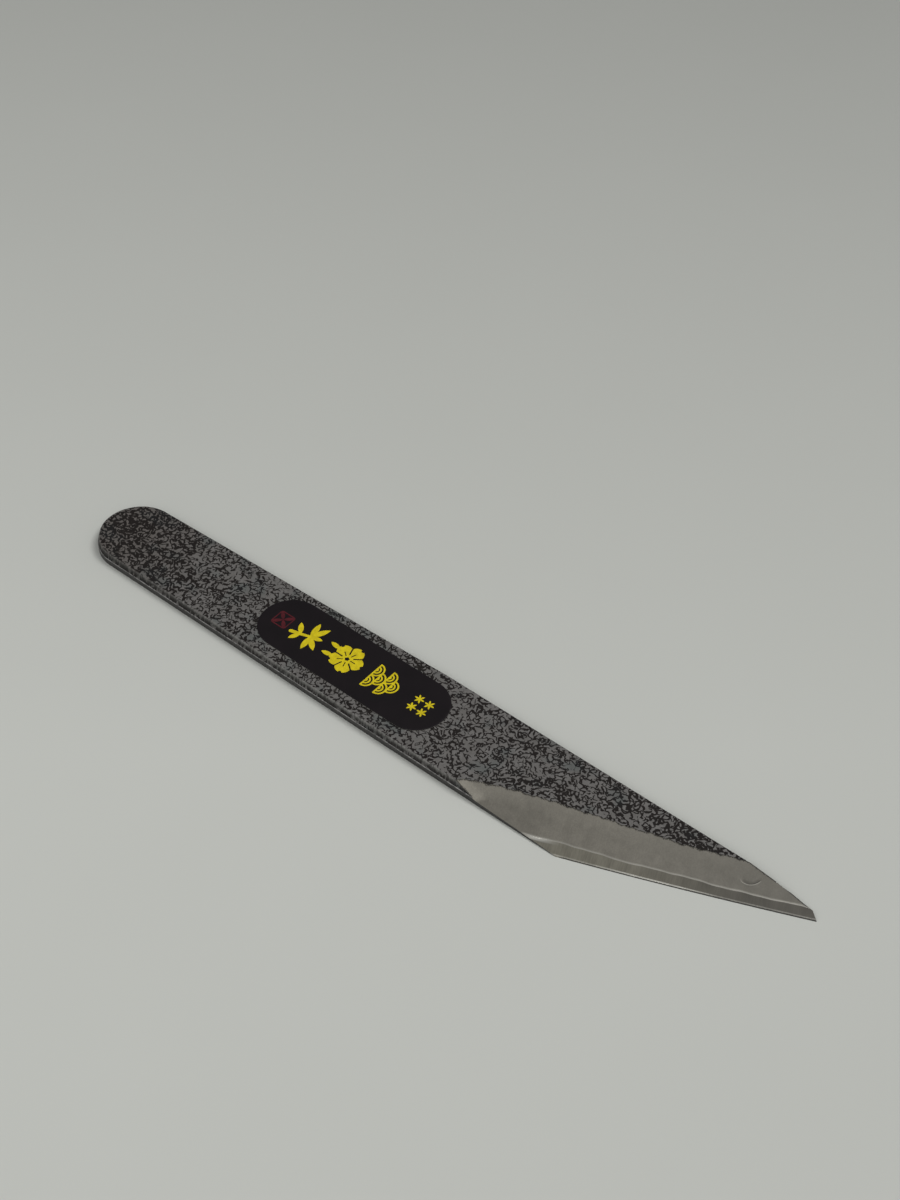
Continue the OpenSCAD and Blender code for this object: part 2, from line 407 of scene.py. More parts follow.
def fill(boundary, step=None, extra=(), seed=0, clear=0.62):
    """Plan points and triangles that fill a boundary, with points about one step apart."""
    inner = []
    if step:
        low, high = boundary.min(0), boundary.max(0)
        xs = np.arange(low[0], high[0], step)
        ys = np.arange(low[1], high[1], step * ROW_GAP)
        gx, gy = np.meshgrid(xs, ys)
        gx[1::2] += step / 2
        grid = np.c_[gx.ravel(), gy.ravel()]
        grid += np.random.default_rng(seed).uniform(-STRAY, STRAY, grid.shape) * step
        inner.append(grid)
    inner += [np.asarray(e) for e in extra]
    points = np.vstack(inner) if inner else np.zeros((0, 2))
    if len(points):
        gap = min(step or FINE, FINE * 1.5) * clear
        points = points[far_from(tree_of(boundary), points) > gap]
        points = points[within(points, boundary)]
    plan = [Vector(p) for p in np.vstack([boundary, points])]
    ring = list(range(len(boundary)))
    out = delaunay_2d_cdt(plan, [], [ring], 0, 1e-7, False)
    # The boundary as rounded by Vector, so that triangles along it are judged by the same points.
    exact = np.array([tuple(p) for p in plan[:len(boundary)]])
    plan, triangles = np.array([tuple(v) for v in out[0]]), np.array(out[2])
    return plan, triangles[within(plan[triangles].mean(1), exact)]


class Shell:
    """Collects patches and strips, and welds them into one closed mesh."""

    SAME = 1e-6               # points nearer than this, in metres, are one point
    FLAT = 1e-7               # edges shorter than this are taken out

    def __init__(self):
        self.points, self.faces, self.zones, self.count = [], [], [], 0

    def patch(self, points, triangles, zone=0):
        self.points.append(points)
        self.faces += [tuple(t) for t in (triangles + self.count).tolist()]
        self.zones += [zone] * len(triangles)
        self.count += len(points)

    def strip(self, a, b, zone=0, closed=False):
        n = len(a)
        last = n if closed else n - 1
        quads = [(i, (i + 1) % n, n + (i + 1) % n, n + i) for i in range(last)]
        self.patch(np.vstack([a, b]), np.array(quads), zone)

    def build(self, name, materials, sharp=35.0):
        mesh = bpy.data.meshes.new(name)
        mesh.from_pydata((np.vstack(self.points) * MM).tolist(), [], self.faces)
        mesh.polygons.foreach_set("material_index", self.zones)
        bm = bmesh.new()
        bm.from_mesh(mesh)
        bmesh.ops.remove_doubles(bm, verts=bm.verts, dist=self.SAME)
        bmesh.ops.dissolve_degenerate(bm, edges=bm.edges, dist=self.FLAT)
        loose = [v for v in bm.verts if not v.link_faces]
        bmesh.ops.delete(bm, geom=loose, context="VERTS")
        bmesh.ops.recalc_face_normals(bm, faces=bm.faces)
        bm.to_mesh(mesh)
        bm.free()
        mesh.polygons.foreach_set("use_smooth", [True] * len(mesh.polygons))
        mesh.set_sharp_from_angle(angle=math.radians(sharp))
        for material in materials:
            mesh.materials.append(material)
        piece = bpy.data.objects.new(name, mesh)
        bpy.context.scene.collection.objects.link(piece)
        return piece


def keep_value(piece, name, values):
    """Stores one number per vertex, which materials and modifiers read by name."""
    layer = piece.data.attributes.new(name, "FLOAT", "POINT")
    layer.data.foreach_set("value", np.asarray(values, np.float32))


def places_of(piece):
    """The places of a piece's vertices, in millimetres."""
    co = np.empty(len(piece.data.vertices) * 3)
    piece.data.vertices.foreach_get("co", co)
    return co.reshape(-1, 3) / MM


# ---------------------------------------------------------------- node helpers

def link_or_set(tree, value, socket):
    if isinstance(value, bpy.types.NodeSocket):
        tree.links.new(value, socket)
    elif value is not None:
        socket.default_value = value


def calc(tree, operation, a, b=None):
    node = tree.nodes.new("ShaderNodeMath")
    node.operation = operation
    link_or_set(tree, a, node.inputs[0])
    link_or_set(tree, b, node.inputs[1])
    return node.outputs[0]


def vector(tree, operation, a, b=None, scale=None):
    node = tree.nodes.new("ShaderNodeVectorMath")
    node.operation = operation
    link_or_set(tree, a, node.inputs[0])
    link_or_set(tree, b, node.inputs[1])
    if scale is not None:
        link_or_set(tree, scale, node.inputs["Scale"])
    return node.outputs[0]


def stretched(tree, at, scales):
    return vector(tree, "MULTIPLY", at, scales)


def noise(tree, at, scale, detail=0.0, rough=0.5, colour=False):
    node = tree.nodes.new("ShaderNodeTexNoise")
    tree.links.new(at, node.inputs["Vector"])
    node.inputs["Scale"].default_value = scale
    node.inputs["Detail"].default_value = detail
    node.inputs["Roughness"].default_value = rough
    return node.outputs[1 if colour else 0]


def remap(tree, value, low, high, to_low=0.0, to_high=1.0, soft=False):
    node = tree.nodes.new("ShaderNodeMapRange")
    node.interpolation_type = "SMOOTHSTEP" if soft else "LINEAR"
    for socket, v in zip(node.inputs, (value, low, high, to_low, to_high)):
        link_or_set(tree, v, socket)
    return node.outputs[0]


def axis_of(tree, at, axis):
    node = tree.nodes.new("ShaderNodeSeparateXYZ")
    tree.links.new(at, node.inputs[0])
    return node.outputs[axis]


def mix(tree, factor, a, b, blend="MIX"):
    node = tree.nodes.new("ShaderNodeMix")
    node.data_type, node.blend_type = "RGBA", blend
    for name, v in (("Factor", factor), ("A", a), ("B", b)):
        socket = next(s for s in node.inputs if s.name == name and
                      (s.type == "VALUE" if name == "Factor" else s.type == "RGBA"))
        link_or_set(tree, v, socket)
    return next(s for s in node.outputs if s.type == "RGBA")


def value_of(tree, name):
    node = tree.nodes.new("ShaderNodeAttribute")
    node.attribute_name = name
    return node.outputs["Fac"]


def grey(v, warm=0.0):
    return (v * (1.0 + warm), v, v * (1.0 - warm), 1.0)


def new_material(name):
    material = bpy.data.materials.new(name)
    material.use_nodes = True
    tree = material.node_tree
    shader = tree.nodes["Principled BSDF"]
    place = tree.nodes.new("ShaderNodeTexCoord").outputs["Object"]
    return material, tree, shader, vector(tree, "SCALE", place, scale=1.0 / MM)


def bump(tree, shader, height, distance_mm, strength=1.0):
    node = tree.nodes.new("ShaderNodeBump")
    node.inputs["Strength"].default_value = strength
    node.inputs["Distance"].default_value = distance_mm * MM
    tree.links.new(height, node.inputs["Height"])
    tree.links.new(node.outputs["Normal"], shader.inputs["Normal"])


# ---------------------------------------------------------------- the mottled coat's pattern

def level_distance(tree, at, scale):
    """About how far, in millimetres, each place is from the middle level line of a noise."""
    step, detail, rough = 0.12, 0.6, 0.4
    least_slope = 0.12 * scale
    here = noise(tree, at, scale, detail, rough)
    slope = 0.0
    for shift in ((step, 0.0, 0.0), (0.0, step, 0.0)):
        there = noise(tree, vector(tree, "ADD", at, shift), scale, detail, rough)
        rise = calc(tree, "SUBTRACT", there, here)
        slope = calc(tree, "ADD", calc(tree, "MULTIPLY", rise, rise), slope)
    steep = calc(tree, "ADD", calc(tree, "DIVIDE", calc(tree, "SQRT", slope), step), least_slope)
    return calc(tree, "DIVIDE", calc(tree, "ABSOLUTE", calc(tree, "SUBTRACT", here, 0.5)), steep)


def veins(tree, at):
    """1 in the dark veins between the coat's islands and 0 on the islands; at is in millimetres."""
    arris = remap(tree, axis_of(tree, at, 2), FRONT_Z - 0.5, FRONT_Z - 0.15, 1.0, 0.0)
    at = stretched(tree, at, (1.0, 1.0, 0.35))
    wander = vector(tree, "SUBTRACT", noise(tree, at, 1.1, 1.0, colour=True), (0.5, 0.5, 0.5))
    bent = vector(tree, "ADD", at, vector(tree, "SCALE", wander, scale=0.9))
    layers = []
    for shift, scale, width in (((0.0, 0.0, 0.0), 0.64, 0.155), ((21.0, 4.0, 2.0), 0.92, 0.14)):
        q = vector(tree, "ADD", bent, shift)
        contour = level_distance(tree, q, scale)
        breaks = noise(tree, vector(tree, "ADD", q, (31.0, 7.0, 3.0)), 0.8, 1.0)
        layers.append(calc(tree, "SUBTRACT", contour, remap(tree, breaks, 0.36, 0.5, -0.03, width)))
    depth = calc(tree, "MINIMUM", layers[0], layers[1])
    clouds = noise(tree, vector(tree, "ADD", at, (11.0, 57.0, 9.0)), 0.14, 1.0)
    depth = calc(tree, "SUBTRACT", depth, remap(tree, clouds, 0.3, 0.7, -0.035, 0.045))
    butt = remap(tree, axis_of(tree, at, 0), BUTT_X + 8.0, BUTT_X + 38.0, 0.06, 0.0, soft=True)
    depth = calc(tree, "SUBTRACT", depth, butt)
    far = remap(tree, axis_of(tree, at, 0), HEEL[0] + 2.0, HEEL[0] + 28.0, 0.0, 0.10, soft=True)
    depth = calc(tree, "SUBTRACT", depth, far)
    depth = calc(tree, "SUBTRACT", depth, calc(tree, "MULTIPLY", arris, 0.09))
    return remap(tree, depth, -0.03, 0.03, 1.0, 0.0, soft=True)


def coat_material():
    material, tree, shader, at = new_material("mottled_coat")
    rubbed_crease_sheen = value_of(tree, "rubbed_crease_sheen")
    unworn = calc(tree, "SUBTRACT", 1.0, calc(tree, "MULTIPLY", rubbed_crease_sheen, 0.5))
    vein = calc(tree, "MULTIPLY", veins(tree, at), unworn)
    cloud = noise(tree, at, 0.35, 2.0, 0.6)
    fleck = noise(tree, at, 3.2, 2.0, 0.6)
    island = mix(tree, remap(tree, cloud, 0.35, 0.65), grey(0.138, 0.06), grey(0.175, 0.045))
    tint = remap(tree, noise(tree, vector(tree, "ADD", at, (5.0, 90.0, 0.0)), 0.2, 1.0), 0.52, 0.68, 0.0, 0.6)
    island = mix(tree, tint, island, (0.100, 0.116, 0.110, 1.0))
    butt = remap(tree, axis_of(tree, at, 0), BUTT_X + 6.0, BUTT_X + 34.0, 1.0, 0.0, soft=True)
    island = mix(tree, calc(tree, "MULTIPLY", butt, 0.7), island, (0.112, 0.097, 0.087, 1.0))
    island = mix(tree, remap(tree, fleck, 0.3, 0.75, 0.35, 0.0), island, grey(0.05, 0.05))
    dark = mix(tree, tint, (0.0075, 0.0048, 0.0036, 1.0), (0.005, 0.0062, 0.0075, 1.0))
    coat = mix(tree, vein, island, dark)
    strokes = noise(tree, stretched(tree, at, (2.4, 1.0, 0.9)), 1.0, 3.0, 0.65)
    # Painted shade: the sloped arris is painted darker in strokes, less so near its foot.
    arris = remap(tree, axis_of(tree, at, 2), FRONT_Z - 0.45, FRONT_Z - 0.1, 1.0, 0.0)
    arris = calc(tree, "MULTIPLY", arris, remap(tree, strokes, 0.42, 0.58, 0.15, 0.9))
    foot = remap(tree, axis_of(tree, at, 2), RIM_Z + 0.15, RIM_Z + 0.55, 0.3, 1.0)
    arris = calc(tree, "MULTIPLY", arris, foot)
    coat = mix(tree, arris, coat, (0.016, 0.015, 0.014, 1.0))
    # Along the near crease the coat is painted lighter than its islands: partly rubbed wear, partly a painted
    # highlight.
    wear_and_sheen = calc(tree, "MULTIPLY", rubbed_crease_sheen, remap(tree, strokes, 0.42, 0.58, 0.2, 0.9))
    along = remap(tree, axis_of(tree, at, 0), BUTT_X + 20.0, BUTT_X + 60.0, 0.35, 1.0, soft=True)
    wear_and_sheen = calc(tree, "MULTIPLY", wear_and_sheen, along)
    coat = mix(tree, wear_and_sheen, coat, (0.24, 0.235, 0.22, 1.0))
    tree.links.new(coat, shader.inputs["Base Color"])
    rough = calc(tree, "ADD", remap(tree, fleck, 0.2, 0.8, 0.52, 0.66), calc(tree, "MULTIPLY", vein, 0.1))
    tree.links.new(rough, shader.inputs["Roughness"])
    shader.inputs["Specular IOR Level"].default_value = 0.3
    grain = calc(tree, "MULTIPLY", noise(tree, at, 6.0, 3.0, 0.6), 0.4)
    bump(tree, shader, calc(tree, "SUBTRACT", grain, vein), 0.02, 0.5)
    return material


def relief_modifier(piece, name, pattern, depth_mm):
    """Sinks the piece's skin, where its 'skin' value is 1, by a pattern that materials share."""
    group = bpy.data.node_groups.new(name, "GeometryNodeTree")
    group.interface.new_socket("Geometry", in_out="INPUT", socket_type="NodeSocketGeometry")
    group.interface.new_socket("Geometry", in_out="OUTPUT", socket_type="NodeSocketGeometry")
    nodes = group.nodes
    start, end = nodes.new("NodeGroupInput"), nodes.new("NodeGroupOutput")
    at = vector(group, "SCALE", nodes.new("GeometryNodeInputPosition").outputs[0], scale=1.0 / MM)
    skin = nodes.new("GeometryNodeInputNamedAttribute")
    skin.data_type = "FLOAT"
    skin.inputs["Name"].default_value = "skin"
    sink = calc(group, "MULTIPLY", pattern(group, at), skin.outputs["Attribute"])
    normal = nodes.new("GeometryNodeInputNormal").outputs[0]
    offset = vector(group, "SCALE", normal, scale=calc(group, "MULTIPLY", sink, -depth_mm * MM))
    move = nodes.new("GeometryNodeSetPosition")
    group.links.new(start.outputs[0], move.inputs["Geometry"])
    group.links.new(offset, move.inputs["Offset"])
    group.links.new(move.outputs[0], end.inputs[0])
    modifier = piece.modifiers.new(name, "NODES")
    modifier.node_group = group


def apply_modifiers(piece):
    graph = bpy.context.evaluated_depsgraph_get()
    solid = bpy.data.meshes.new_from_object(piece.evaluated_get(graph), preserve_all_data_layers=True,
                                            depsgraph=graph)
    piece.modifiers.clear()
    piece.data = solid


# ---------------------------------------------------------------- bare metal

EDGE_ANGLE = math.atan2(ALONG[1], ALONG[0])
# The heel's place along the edge, and the stretch over which the strip is painted darker, a painted shade.
EDGE_S_HEEL = HEEL[0] * math.cos(EDGE_ANGLE) + HEEL[1] * math.sin(EDGE_ANGLE)
EDGE_S_DARK = (EDGE_S_HEEL + 2.0, EDGE_S_HEEL + 42.0)


def edge_frame(tree, at):
    """The place measured along the cutting edge, across it, and up."""
    node = tree.nodes.new("ShaderNodeVectorRotate")
    node.rotation_type = "Z_AXIS"
    tree.links.new(at, node.inputs["Vector"])
    node.inputs["Angle"].default_value = -EDGE_ANGLE
    return node.outputs[0]


def bevel_material():
    """Soft iron ground across the edge, with the faint clouds of a matt stone finish."""
    material, tree, shader, at = new_material("ground_iron")
    edge = edge_frame(tree, at)
    streak = noise(tree, stretched(tree, edge, (5.5, 0.35, 1.0)), 1.0, 3.0, 0.6)
    cloud = noise(tree, at, 0.45, 3.0, 0.6)
    grain = noise(tree, at, 5.0, 2.0, 0.6)
    tone = calc(tree, "ADD", calc(tree, "MULTIPLY", streak, 0.35), calc(tree, "MULTIPLY", cloud, 0.65))
    tone = calc(tree, "ADD", calc(tree, "MULTIPLY", tone, 0.75), calc(tree, "MULTIPLY", grain, 0.25))
    base = mix(tree, remap(tree, tone, 0.35, 0.65), (0.195, 0.184, 0.157, 1), (0.272, 0.256, 0.219, 1))
    # Painted light: the bevel is painted lighter near the grind line.
    rim = remap(tree, value_of(tree, "rim"), 0.3, 3.2, 0.35, 0.0, soft=True)
    base = mix(tree, rim, base, (0.31, 0.293, 0.25, 1.0))
    fine = noise(tree, at, 2.6, 3.0, 0.7)
    base = mix(tree, remap(tree, fine, 0.35, 0.7, 0.0, 0.35), base, (0.15, 0.14, 0.12, 1.0))
    # Painted shade: the ground iron is painted darker towards the point.
    far = remap(tree, axis_of(tree, edge, 0), EDGE_S_HEEL + 10.0, EDGE_S_HEEL + 44.0, 0.0, 0.6)
    base = mix(tree, far, base, (0.15, 0.143, 0.126, 1.0))
    # Painted highlight: a light line along the weld line, where the hollow meets the strip.
    line = remap(tree, value_of(tree, "ridge"), 0.05, 0.32, 1.0, 0.0, soft=True)
    base = mix(tree, calc(tree, "MULTIPLY", line, 0.4), base, (0.48, 0.465, 0.42, 1.0))
    ragged = calc(tree, "SUBTRACT", value_of(tree, "rim"), remap(tree, grain, 0.35, 0.65, 0.0, 0.30))
    left = remap(tree, ragged, 0.0, 0.08, 1.0, 0.0)
    base = mix(tree, calc(tree, "MULTIPLY", left, 0.8), base, (0.03, 0.027, 0.024, 1.0))
    # Painted shade in the nick's scoop, and a painted highlight along its lip.
    nicked = value_of(tree, "nick")
    base = mix(tree, remap(tree, nicked, 0.3, 0.9, 0.0, 0.45), base, (0.09, 0.085, 0.075, 1.0))
    base = mix(tree, remap(tree, nicked, -0.1, -0.35, 0.0, 0.5), base, (0.55, 0.53, 0.48, 1.0))
    # Painted shade: the bevel's rim on the spine's side is painted dark.
    base = mix(tree, value_of(tree, "spine"), base, (0.035, 0.033, 0.031, 1.0))
    tree.links.new(base, shader.inputs["Base Color"])
    shader.inputs["Metallic"].default_value = 0.85
    rough = calc(tree, "ADD", remap(tree, tone, 0.3, 0.7, 0.62, 0.54), calc(tree, "MULTIPLY", line, -0.1))
    tree.links.new(rough, shader.inputs["Roughness"])
    bump(tree, shader, calc(tree, "ADD", calc(tree, "MULTIPLY", streak, 0.6), grain), 0.010, 0.5)
    return material


def strip_material():
    """Hard steel honed across the edge, a little darker and browner than the iron."""
    material, tree, shader, at = new_material("honed_steel")
    edge = edge_frame(tree, at)
    streak = noise(tree, stretched(tree, edge, (3.4, 0.25, 1.0)), 1.0, 4.0, 0.65)
    cloud = noise(tree, stretched(tree, edge, (0.5, 0.2, 1.0)), 1.0, 1.0)
    tone = calc(tree, "ADD", calc(tree, "MULTIPLY", streak, 0.6), calc(tree, "MULTIPLY", cloud, 0.4))
    base = mix(tree, remap(tree, tone, 0.36, 0.64), (0.195, 0.184, 0.150, 1), (0.295, 0.280, 0.228, 1))
    # Painted shade: the honed strip is painted darker towards the point.
    far = remap(tree, axis_of(tree, edge, 0), *EDGE_S_DARK, soft=True)
    base = mix(tree, calc(tree, "MULTIPLY", far, 0.85), base, (0.085, 0.080, 0.072, 1.0))
    # Painted highlight: a light line along the weld line.
    line = remap(tree, value_of(tree, "ridge"), 0.05, 0.25, 1.0, 0.0, soft=True)
    base = mix(tree, calc(tree, "MULTIPLY", line, 0.6), base, (0.62, 0.60, 0.54, 1.0))
    # Painted highlights: a bright line along the cutting edge and a glint on the scooped facet.
    bright = calc(tree, "MAXIMUM", value_of(tree, "edge_glint"), value_of(tree, "scoop"))
    base = mix(tree, calc(tree, "MULTIPLY", bright, 0.95), base, (0.90, 0.88, 0.80, 1.0))
    # Painted shadow: a dark line along the very edge.
    base = mix(tree, calc(tree, "MULTIPLY", value_of(tree, "edge_shadow"), 0.8), base, (0.03, 0.03, 0.028, 1.0))
    tree.links.new(base, shader.inputs["Base Color"])
    shader.inputs["Metallic"].default_value = 0.9
    rough = remap(tree, tone, 0.3, 0.7, 0.5, 0.4)
    rough = calc(tree, "SUBTRACT", rough, calc(tree, "MULTIPLY", bright, 0.12))
    tree.links.new(rough, shader.inputs["Roughness"])
    bump(tree, shader, streak, 0.012, 0.45)
    return material


def side_material(name, base_low, base_high, roughness):
    """Dull metal with lines drawn along the bar."""
    material, tree, shader, at = new_material(name)
    lines = noise(tree, stretched(tree, at, (0.22, 1.0, 7.0)), 1.0, 3.0, 0.6)
    spots = noise(tree, at, 1.6, 3.0, 0.6)
    tone = calc(tree, "ADD", calc(tree, "MULTIPLY", lines, 0.4), calc(tree, "MULTIPLY", spots, 0.6))
    tree.links.new(mix(tree, remap(tree, tone, 0.38, 0.62), base_low, base_high), shader.inputs["Base Color"])
    tree.links.new(remap(tree, spots, 0.3, 0.7, roughness, roughness + 0.14), shader.inputs["Roughness"])
    shader.inputs["Metallic"].default_value = 0.7
    bump(tree, shader, lines, 0.012, 0.5)
    return material


def back_material():
    """The flat back of the blade: hard steel polished along the bar, finer on the rim."""
    material, tree, shader, at = new_material("polished_back")
    lines = noise(tree, stretched(tree, at, (0.25, 5.0, 1.0)), 1.0, 3.0, 0.6)
    cloud = noise(tree, at, 0.3, 3.0, 0.6)
    hollow = value_of(tree, "hollow")
    ground = mix(tree, remap(tree, cloud, 0.3, 0.7), (0.30, 0.29, 0.265, 1), (0.38, 0.37, 0.34, 1))
    rim = mix(tree, remap(tree, lines, 0.3, 0.7), (0.44, 0.43, 0.40, 1), (0.54, 0.53, 0.50, 1))
    tree.links.new(mix(tree, hollow, rim, ground), shader.inputs["Base Color"])
    shader.inputs["Metallic"].default_value = 0.9
    rough = calc(tree, "ADD", remap(tree, lines, 0.3, 0.7, 0.24, 0.34), calc(tree, "MULTIPLY", hollow, 0.2))
    tree.links.new(rough, shader.inputs["Roughness"])
    bump(tree, shader, lines, 0.010, 0.4)
    return material


def scale_pattern(tree, at):
    """Pits and blisters of forge scale, from 0 to 1."""
    pits = noise(tree, at, 0.9, 3.0, 0.6)
    return remap(tree, pits, 0.35, 0.6, 1.0, 0.0, soft=True)


def scale_material():
    """Dark forge scale, with dull red-brown patches and rubbed high spots."""
    material, tree, shader, at = new_material("forge_scale")
    pits = scale_pattern(tree, at)
    cloud = noise(tree, at, 0.16, 3.0, 0.6)
    fleck = noise(tree, at, 3.0, 3.0, 0.65)
    base = mix(tree, remap(tree, cloud, 0.38, 0.62), (0.030, 0.029, 0.029, 1), (0.052, 0.047, 0.043, 1))
    base = mix(tree, remap(tree, fleck, 0.5, 0.72, 0.0, 0.6), base, (0.085, 0.080, 0.075, 1.0))
    base = mix(tree, calc(tree, "MULTIPLY", pits, 0.5), base, (0.016, 0.014, 0.013, 1.0))
    tree.links.new(base, shader.inputs["Base Color"])
    tree.links.new(remap(tree, fleck, 0.3, 0.7, 0.5, 0.72), shader.inputs["Roughness"])
    shader.inputs["Metallic"].default_value = 0.2
    bump(tree, shader, calc(tree, "SUBTRACT", fleck, pits), 0.03, 0.5)
    return material


# ---------------------------------------------------------------- the label's materials

def film_material():
    """Black printed film that follows the coat under it very faintly."""
    material, tree, shader, at = new_material("label_film")
    print_grain = noise(tree, at, 9.0, 2.0, 0.6)
    cloud = noise(tree, at, 0.25, 2.0)
    base = mix(tree, remap(tree, cloud, 0.3, 0.7), (0.0056, 0.0036, 0.0048, 1), (0.0076, 0.0050, 0.0064, 1))
    tree.links.new(base, shader.inputs["Base Color"])
    tree.links.new(remap(tree, print_grain, 0.3, 0.7, 0.42, 0.50), shader.inputs["Roughness"])
    shader.inputs["Specular IOR Level"].default_value = 0.28
    bump(tree, shader, calc(tree, "SUBTRACT", print_grain, veins(tree, at)), 0.004, 0.35)
    return material


def ink_material(name, thin, full):
    """Printed ink, a little uneven, with small pinholes."""
    material, tree, shader, at = new_material(name)
    cloud = noise(tree, at, 0.9, 3.0, 0.6)
    grain = noise(tree, at, 7.0, 2.0, 0.6)
    base = mix(tree, remap(tree, cloud, 0.35, 0.6), thin, full)
    base = mix(tree, remap(tree, grain, 0.66, 0.78, 0.0, 0.5), base, tuple(0.35 * c for c in thin[:3]) + (1,))
    tree.links.new(base, shader.inputs["Base Color"])
    tree.links.new(remap(tree, grain, 0.3, 0.7, 0.42, 0.56), shader.inputs["Roughness"])
    shader.inputs["Specular IOR Level"].default_value = 0.35
    bump(tree, shader, grain, 0.006, 0.4)
    return material


def glue_material():
    material, tree, shader, at = new_material("label_glue")
    cloud = noise(tree, at, 1.2, 2.0)
    base = mix(tree, cloud, (0.30, 0.28, 0.24, 1), (0.42, 0.40, 0.35, 1))
    tree.links.new(base, shader.inputs["Base Color"])
    tree.links.new(remap(tree, cloud, 0.3, 0.7, 0.35, 0.5), shader.inputs["Roughness"])
    bump(tree, shader, cloud, 0.005, 0.4)
    return material


# ---------------------------------------------------------------- the pieces

BACK_CHAMFER = 0.06
AT = 1e-5                 # places nearer than this, in plan, are the same

# Where the coat on the back ends, on the edge's side and on the spine's.
AT_STEP = np.abs(OUTER[:, 0] - BACK_COAT_X) < AT
STEP_NEAR = int(np.where(AT_STEP & (OUTER[:, 1] < 0))[0][0])
STEP_FAR = int(np.where(AT_STEP & (OUTER[:, 1] > 0))[0][0])
HANDLE, BLADE = (STEP_FAR, STEP_NEAR), (STEP_NEAR, STEP_FAR)

COATED_RIM = span(SHOULDER, A_FAR, A_NEAR)
COATED_IN = span(OUTER_IN, A_FAR, A_NEAR)
# The seat under the coat: the coated rim drawn in by the coat, and the grind line. The coat thins
# out to nothing where the two meet.
SEAT_INSET = np.minimum(COAT_T, 0.4 * far_from(tree_of(resample(GRIND, FINE / 10)), COATED_RIM))
SEAT_RIM = COATED_RIM + SEAT_INSET[:, None] * COATED_IN
SEAT_GRIND = np.vstack([SEAT_RIM[-1:], GRIND[1:-1], SEAT_RIM[:1]])
SEAT_LOOP = np.vstack([SEAT_RIM, SEAT_GRIND[1:-1]])


def seat_patch():
    rings = [OUTER[::8] + d * OUTER_IN[::8] for d in (ARRIS_W / 2 + COAT_T, ARRIS_W + COAT_T)]
    plan, triangles = fill(SEAT_LOOP, 4.0, rings, seed=3)
    low = np.minimum(front_height(plan, COAT_T), FRONT_Z) - COAT_T
    z = np.maximum(low, RIM_Z)
    z[far_from(tree_of(SEAT_RIM), plan) < AT] = RIM_Z
    return with_z(plan, z), triangles


def heights_at(points, plan_line):
    """The heights that a patch gives to the points of a line on its boundary."""
    tree = tree_of(points)
    return np.array([points[tree.find((q[0], q[1], 0.0))[1]][2] for q in plan_line])


def rim_heights(patch, elsewhere, *stretches):
    """Heights of the outline's points: the patch's along some stretches, one height elsewhere."""
    z = np.full(len(OUTER), elsewhere)
    for first, last in stretches:
        indices = around(len(OUTER), first, last)
        z[indices] = heights_at(patch, OUTER[indices])
    return z


SEAT_POINTS, SEAT_TRIANGLES = seat_patch()
SEAT_GRIND_3D = with_z(SEAT_GRIND, heights_at(SEAT_POINTS, SEAT_GRIND))


def make_front_coat():
    loop = np.vstack([COATED_RIM, GRIND[1:-1]])
    rings = [OUTER + d * OUTER_IN for d in np.linspace(SHOULDER_W, ARRIS_W + 0.14, 8)[1:]]
    plan, triangles = fill(loop, FINE, rings, seed=5)
    top = with_z(plan, np.maximum(front_height(plan), RIM_Z))
    top[inset_of(plan) < SHOULDER_W + 1e-4, 2] = RIM_Z
    shell = Shell()
    shell.patch(top, triangles)
    shell.patch(SEAT_POINTS, SEAT_TRIANGLES)
    shell.strip(with_z(COATED_RIM, RIM_Z), with_z(SEAT_RIM, RIM_Z))
    shell.strip(with_z(GRIND, heights_at(top, GRIND)), SEAT_GRIND_3D)
    piece = shell.build("front_coat_skin", [coat_material()], sharp=60)
    co = places_of(piece)
    skin = smooth(co[:, 2], RIM_Z, RIM_Z + 0.2) * (co[:, 2] > front_height(co[:, :2]) - 0.01)
    keep_value(piece, "skin", skin)
    inset = inset_of(co[:, :2])
    # Marks the near crease, painted lighter in the coat: partly wear, partly a painted highlight.
    near_side = smooth(-co[:, 1], 4.0, 8.5) * (co[:, 2] > RIM_Z + 0.1)
    keep_value(piece, "rubbed_crease_sheen", near_side * np.exp(-((inset - ARRIS_W) / 0.13) ** 2))
    relief_modifier(piece, "vein_relief", veins, 0.035)
    apply_modifiers(piece)
    return piece


UNDER_LOOP = np.vstack([span(OUTER, B_FAR, B_NEAR), WELD[1:-1]])
WELD_TREE = tree_of(WELD)
NICK_ROWS = (-0.3, -0.2, -0.12, -0.04, 0.04, 0.12, 0.2, 0.3)     # about the nick's wall
CREST_ROWS = (0.125, 0.165, 0.22)                                # in from the outline


def ground_loop():
    """Boundary of the iron's ground bevel."""
    near_side = span(OUTER, A_NEAR, B_NEAR)
    far_side = span(OUTER, B_FAR, A_FAR)
    return np.vstack([near_side, WELD[1:-1], far_side, GRIND[::-1]])


def iron_height(plan):
    base = soft_min(bevel_height(plan), front_height(plan), 0.04)
    x, y = plan[:, 0], plan[:, 1]
    ripple = 0.008 * np.sin(x / 1.7 + y / 2.3) + 0.006 * np.sin(x / 0.9 - y)
    s, n = to_edge(plan)
    inside = smooth(n - strip_width(s), 0.0, 1.0) * smooth(inset_of(plan), 0.0, 0.6)
    return base + ripple * inside - nick(plan)


